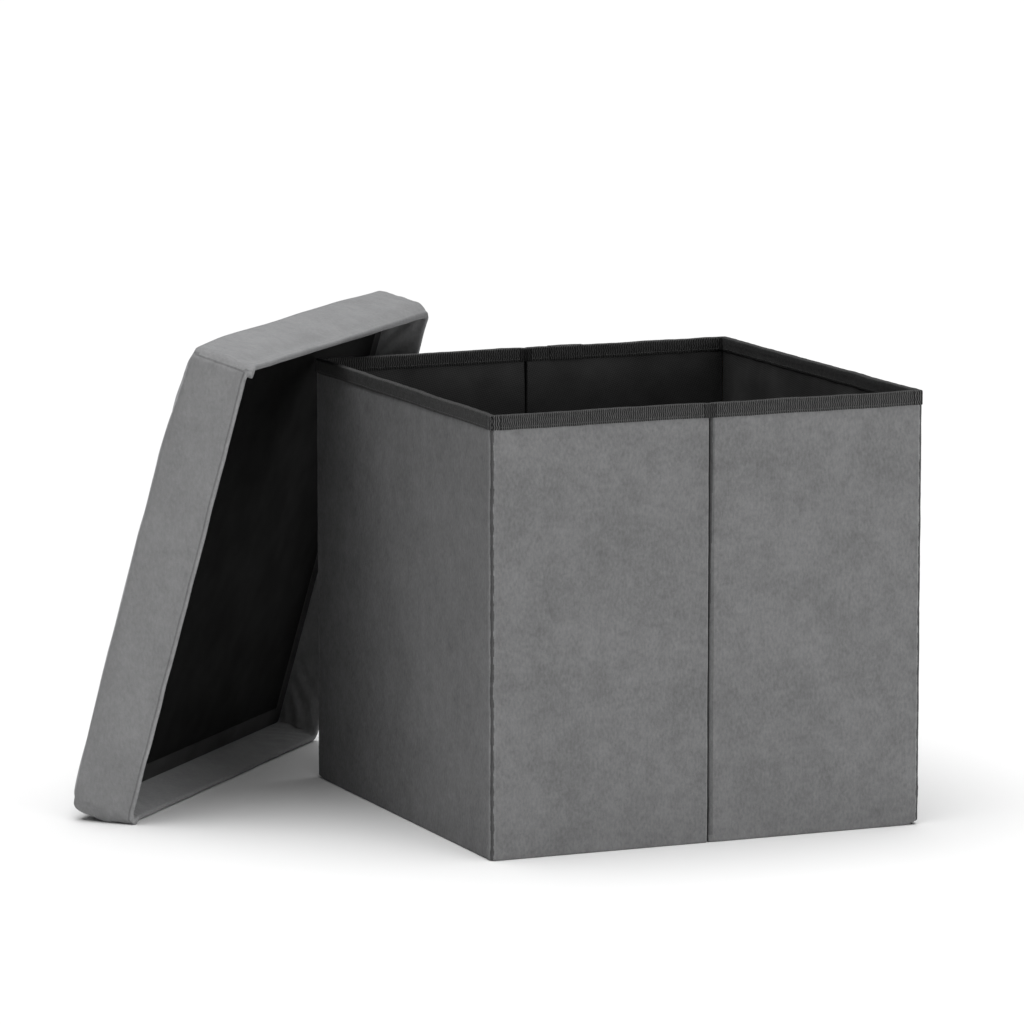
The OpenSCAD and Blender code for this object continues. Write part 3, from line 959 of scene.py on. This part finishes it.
def lid_details(p):
    """Hand-made unevenness of the cover: slack, folded corners and puckers on the inside. The
    long skirts are the upper and the lower one, whose cloth wraps the corners."""
    p = p.copy()
    x, y, z = p[:, 0], p[:, 1], p[:, 2]
    side = np.abs(x) >= np.abs(y)          # on a long skirt
    across = np.where(side, y, x)
    normal = np.stack([np.where(side, np.sign(x), 0), np.where(side, 0, np.sign(y)), np.zeros(len(p))], 1)
    reach = np.maximum(np.abs(x), np.abs(y))
    outer = smoothstep(reach, LID - 4 * MM, LID - 1.5 * MM) * smoothstep(z, 54 * MM, 40 * MM)
    crown = smoothstep(z, 42 * MM, 56 * MM)
    inner = smoothstep(reach, SKIRT_IN + 2.2 * MM, SKIRT_IN + 0.6 * MM) * smoothstep(z, 46 * MM, 38 * MM)
    loose = 0.35 * ripple(p, 60 * MM, 201) + 0.18 * ripple(p, 20 * MM, 202) + 0.05 * ripple(p, 7 * MM, 203)
    upper = 2.0 + 1.0 * smoothstep(y, 0, 100 * MM) + 2.6 * smoothstep(y, 90 * MM, 188 * MM)
    full = np.where(side, np.where(x > 0, upper, 6.0), np.where(y > 0, 3.5, 1.0))
    raised = (x > 0) & (y > 0)
    full = full * smoothstep(z, np.where(raised, -3, 3) * MM, np.where(raised, 14, 26) * MM)
    full = full * smoothstep(z, 68 * MM, 46 * MM)
    kept = np.where(side, np.where(x > 0, np.where(y > 0, 1.0, 0.5), 0.8), 0.55)
    ends = smoothstep(LID - np.abs(across), 0, 9 * MM) * (1 - kept) + kept
    wide = np.where(z > 45 * MM, smoothstep(reach, LID - 20 * MM, LID - 2 * MM),
                    smoothstep(reach, LID - 3 * MM, LID - 1.2 * MM))
    p += normal * (outer * (loose + 0.3) + full * ends * wide)[:, None] * MM
    p[:, 2] += crown * (0.5 * ripple(p, 75 * MM, 204) + 0.18 * ripple(p, 24 * MM, 205)) * MM
    # the pad is thinner at the corners that carried the lid, fuller between them
    near_x = LID - np.abs(x)
    near_y = LID - np.abs(y)
    pull = np.where(x > 0, np.where(y > 0, 6.5, 4.5), 1.0) * MM
    pull = pull * smoothstep(np.hypot(near_x, near_y), 95 * MM, 5 * MM)
    p[:, 2] += (1.8 * MM - pull) * smoothstep(z, 34 * MM, 56 * MM)
    # corners: the long skirts' velvet folds over that of the other two and ends in a seam
    wander = 0.5 * MM * ripple(p * (0, 0, 1), 16 * MM, 210)
    seam = np.where(side | (near_y > 6 * MM), 99.0, near_x - 3.4 * MM - wander)
    strong = np.where(x > 0, 1.0, 0.55) * smoothstep(z, 64 * MM, 54 * MM) * smoothstep(z, -1 * MM, 3 * MM)
    p -= normal * (0.6 * MM * dip(seam, 0.9 * MM) * strong)[:, None]
    p += normal * (0.7 * MM * smoothstep(seam, 0, -1.4 * MM) * (seam < 50 * MM) * strong)[:, None]
    # the heads of the corner nails press the velvet out a little
    head = dip(near_y - 3.4 * MM, 2.6 * MM) * dip(z - 10 * MM, 2.8 * MM) * side
    p += normal * (0.9 * MM * head * outer)[:, None]
    # the velvet's second row of stitches draws the long skirts in above their hem
    drawn = np.where(side, 1.0, 0.35) * smoothstep(LID - np.abs(across), 15 * MM, 32 * MM)
    p -= normal * (0.7 * MM * drawn * dip(z - 9 * MM, 4.5 * MM) * outer)[:, None]
    corner = np.clip(1 - np.hypot(near_x, near_y) / (26 * MM), 0, 1)
    gather = corner * 0.55 * MM * ripple(p * (1, 1, 2.2), 11 * MM, 206) * (outer + crown * 0.5)
    p += normal * gather[:, None]
    # the hem's corners of the long skirts hang a little lower, where the cloth is doubled
    lip = np.where(side, 1.0, 0.2) * (y < 0)
    lip = lip * smoothstep(near_y, 17 * MM, 5 * MM) * smoothstep(near_x, 10 * MM, 6 * MM)
    p[:, 2] -= 4.2 * MM * lip * smoothstep(z, 12 * MM, 1 * MM)
    thick = lip * smoothstep(reach, LID - 2.5 * MM, SKIRT_IN + 0.5 * MM)
    thick = thick * smoothstep(z, 13 * MM, 3 * MM)
    p -= normal * (2.8 * MM * thick)[:, None]
    # diagonal drag lines inside
    run = across + z * 1.4 * np.sign(across)
    drag = np.sin(run * 2 * math.pi / (21 * MM) + 2.5 * ripple(p, 50 * MM, 207))
    tense = smoothstep(np.abs(across), 95 * MM, 175 * MM)
    pull = (0.5 + 0.5 * drag) * (0.15 + tense) * np.where(side, 1.1, 1.9)
    puff = 0.45 + 0.3 * ripple(p, 34 * MM, 208)
    held = smoothstep(z, 2 * MM, 12 * MM) * smoothstep(z, 37 * MM, 29 * MM)
    p -= normal * (inner * (pull + puff) * MM * held)[:, None]
    # the hem's edge wavers
    p[:, 2] += 0.35 * MM * ripple(p * (1, 1, 0), 40 * MM, 209) * smoothstep(z, 12 * MM, 2 * MM)
    return p


flat_co = coords(cover)
set_coords(cover, lid_details(flat_co))
cover.data.transform(LID_PLACE)
sub = cover.modifiers.new("smooth", "SUBSURF")
sub.levels = sub.render_levels = 1
dress(cover, LID_VELVET)
cover.data.materials.append(LID_SEAM_SHADE)
cover.data.materials.append(LID_HEM_HIGHLIGHT)
# Painted shade along the seams at the upper skirt's corners and in a band just above the near and far skirts'
# hem, and a painted highlight on the lowest edge of that hem
for face in cover.data.polygons:
    at = flat_co[list(face.vertices)].mean(0)
    upper, (x, y, z) = at[0] > 0, np.abs(at)
    if max(x, y) < SKIRT_IN + 1.2 * MM or z > 54 * MM:
        continue
    by_seam = upper and y > LID - 5 * MM and 2.5 * MM < LID - x < 3.7 * MM and z > 3 * MM
    if y > x and (by_seam or 1.5 * MM < z < 3.0 * MM):
        face.material_index = 1
    elif y > x and z < 1.2 * MM:
        face.material_index = 2
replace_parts(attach(cover, "lid"), "lid_top_cover", "lid_left_cover", "lid_right_cover",
            "lid_front_cover", "lid_back_cover")

# The pad under the cover: a stack of rings from its flat underside
pad_rings = ((LID - 6 * MM, 7, 41.3), (LID - 5 * MM, 7, 42.0), (LID - 5 * MM, 8, 45),
             (LID - 8 * MM, 10, 50), (LID - 17 * MM, 13, 53))
pad_top = cap_points(LID - 17 * MM, 12, 53, 4 * MM, 0.6)
pad_points = np.concatenate([ring_points(*ring) for ring in pad_rings] + [pad_top])
pad_faces = closed_faces(len(pad_rings)) + [tuple(range(RING - 1, -1, -1))]
pad = make("lid_foam_pad", pad_points, pad_faces)
pad.data.transform(LID_PLACE)
dress(pad, FOAM)
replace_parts(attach(pad, "lid"), "lid_pad")


# ---- The tray's lining: an outer band and a sewn-on middle panel ----

def tray_sheet(name, half, z, hem, seed, clear=0.0):
    """A square of lining at height z with a rounded hem, sagging beyond clear from its edge."""
    s = steps(-half, half, 4 * MM)
    edge = [half - hem * f for f in (0, 0.12, 0.4, 1.0)]
    inside = s[(s > -half + hem * 1.3) & (s < half - hem * 1.3)]
    s = np.unique(np.round(np.concatenate([inside, edge, [-e for e in edge]]), 6))
    X, Y = np.meshgrid(s, s, indexing="ij")
    P = np.stack([X, Y, np.full_like(X, z)], -1)
    rim = half - np.maximum(np.abs(X), np.abs(Y))
    wave = 0.30 * ripple(P, 90 * MM, seed) + 0.16 * ripple(P, 26 * MM, seed + 1)
    P[..., 2] -= (0.35 + wave) * MM * smoothstep(rim, clear, clear + 10 * MM)
    P[..., 2] += hem * 0.25 * smoothstep(rim, hem, 0)
    sheet = grid(name, P, flip=True)
    sheet.data.transform(LID_PLACE)
    return sheet


band = tray_sheet("lid_lining_band", SKIRT_IN + 0.3 * MM, TRAY + 0.3 * MM, 0.5 * MM, 301, clear=11 * MM)
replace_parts(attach(dress(band, LINING), "lid"), "lid_lining")
panel = tray_sheet("lid_lining_panel", SKIRT_IN - BAND, TRAY - 0.75 * MM, 2.4 * MM, 311)
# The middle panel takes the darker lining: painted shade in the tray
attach(dress(panel, LID_LINING), "lid")
for n, (ax, ay) in enumerate(((1, 0), (0, 1), (-1, 0), (0, -1))):
    t = steps(-SKIRT_IN + BAND + 2 * MM, SKIRT_IN - BAND - 2 * MM, 4 * MM)
    q = SKIRT_IN - BAND - 1.6 * MM
    line = np.column_stack([ax * q - ay * t, ay * q + ax * t, np.full(len(t), TRAY - 1.25 * MM)])
    sewn = stitches(f"lid_lining_stitches_{n}", line, 3.4 * MM, 2.4 * MM, 0.4 * MM)
    sewn.data.transform(LID_PLACE)
    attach(dress(sewn, THREAD), "lid")


# Painted highlight: the faces along the top of the tape take the lighter copy of the binding, where it
# catches the light along the rim
for obj in scene.objects:
    if obj.type == "MESH" and obj.data.materials and obj.data.materials[0] in (BINDING, PLAIN_TAPE):
        obj.data.materials.append(TAPE_HIGHLIGHT)
        for face in obj.data.polygons:
            if all(obj.data.vertices[v].co.z > TOP - 0.95 * MM for v in face.vertices):
                face.material_index = 1


# ---- Camera, light and floor ----

# The camera stands DIST away in the direction (AZ, EL), and looks past the middle of the base
AZ, EL, DIST = math.radians(-23.02), math.radians(8.785), 5.2726
back = Vector((math.sin(AZ) * math.cos(EL), -math.cos(AZ) * math.cos(EL), math.sin(EL)))
right = Vector((math.cos(AZ), math.sin(AZ), 0))
up = back.cross(right)
camera_data = bpy.data.cameras.new("camera")
camera = bpy.data.objects.new("camera", camera_data)
scene.collection.objects.link(camera)
camera.location = back * DIST + right * -0.0825 + up * 0.2361
camera.rotation_mode = "QUATERNION"
camera.rotation_quaternion = back.to_track_quat("Z", "Y")
camera_data.sensor_width = 36
camera_data.lens = 226.2
camera_data.clip_end = 200
scene.camera = camera

scene.view_settings.view_transform = "Standard"
scene.view_settings.look = "None"

WIDE = 40.0        # half width of the floor
floor_corners = [(-WIDE, -WIDE, 0), (WIDE, -WIDE, 0), (WIDE, WIDE, 0), (-WIDE, WIDE, 0)]
floor = make("floor", floor_corners, [(0, 1, 2, 3)])
m = Nodes("floor_paint")
cloud = m.noise(m.place(), 0.8, 2)
m.finish(m.mix(cloud, grey(0.85), grey(0.87)), m.span(cloud, 0, 1, 0.9, 0.95), None, Specular_IOR_Level=0.0)
floor.data.materials.append(m.material)

world = bpy.data.worlds.new("studio")
world.use_nodes = True
background = world.node_tree.nodes["Background"]
background.inputs["Color"].default_value = (1, 1, 1, 1)
background.inputs["Strength"].default_value = 0.06
scene.world = world


def softbox(name, at, to, width, height, watts):
    """An area light at a point, facing another."""
    data = bpy.data.lights.new(name, "AREA")
    data.shape, data.size, data.size_y, data.energy = "RECTANGLE", width, height, watts
    light = bpy.data.objects.new(name, data)
    scene.collection.objects.link(light)
    light.location = at
    light.rotation_mode = "QUATERNION"
    light.rotation_quaternion = (Vector(at) - Vector(to)).to_track_quat("Z", "Y")


key_data = bpy.data.lights.new("key", "SUN")
key_data.energy, key_data.angle = 3.52, math.radians(66)
key = bpy.data.objects.new("key", key_data)
scene.collection.objects.link(key)
key.rotation_mode = "QUATERNION"
key.rotation_quaternion = Vector((-0.04, -0.01, 0.99)).to_track_quat("Z", "Y")
softbox("front", (1.0, -3.25, 0.5), (0, 0, 0.2), 1.6, 0.9, 45)
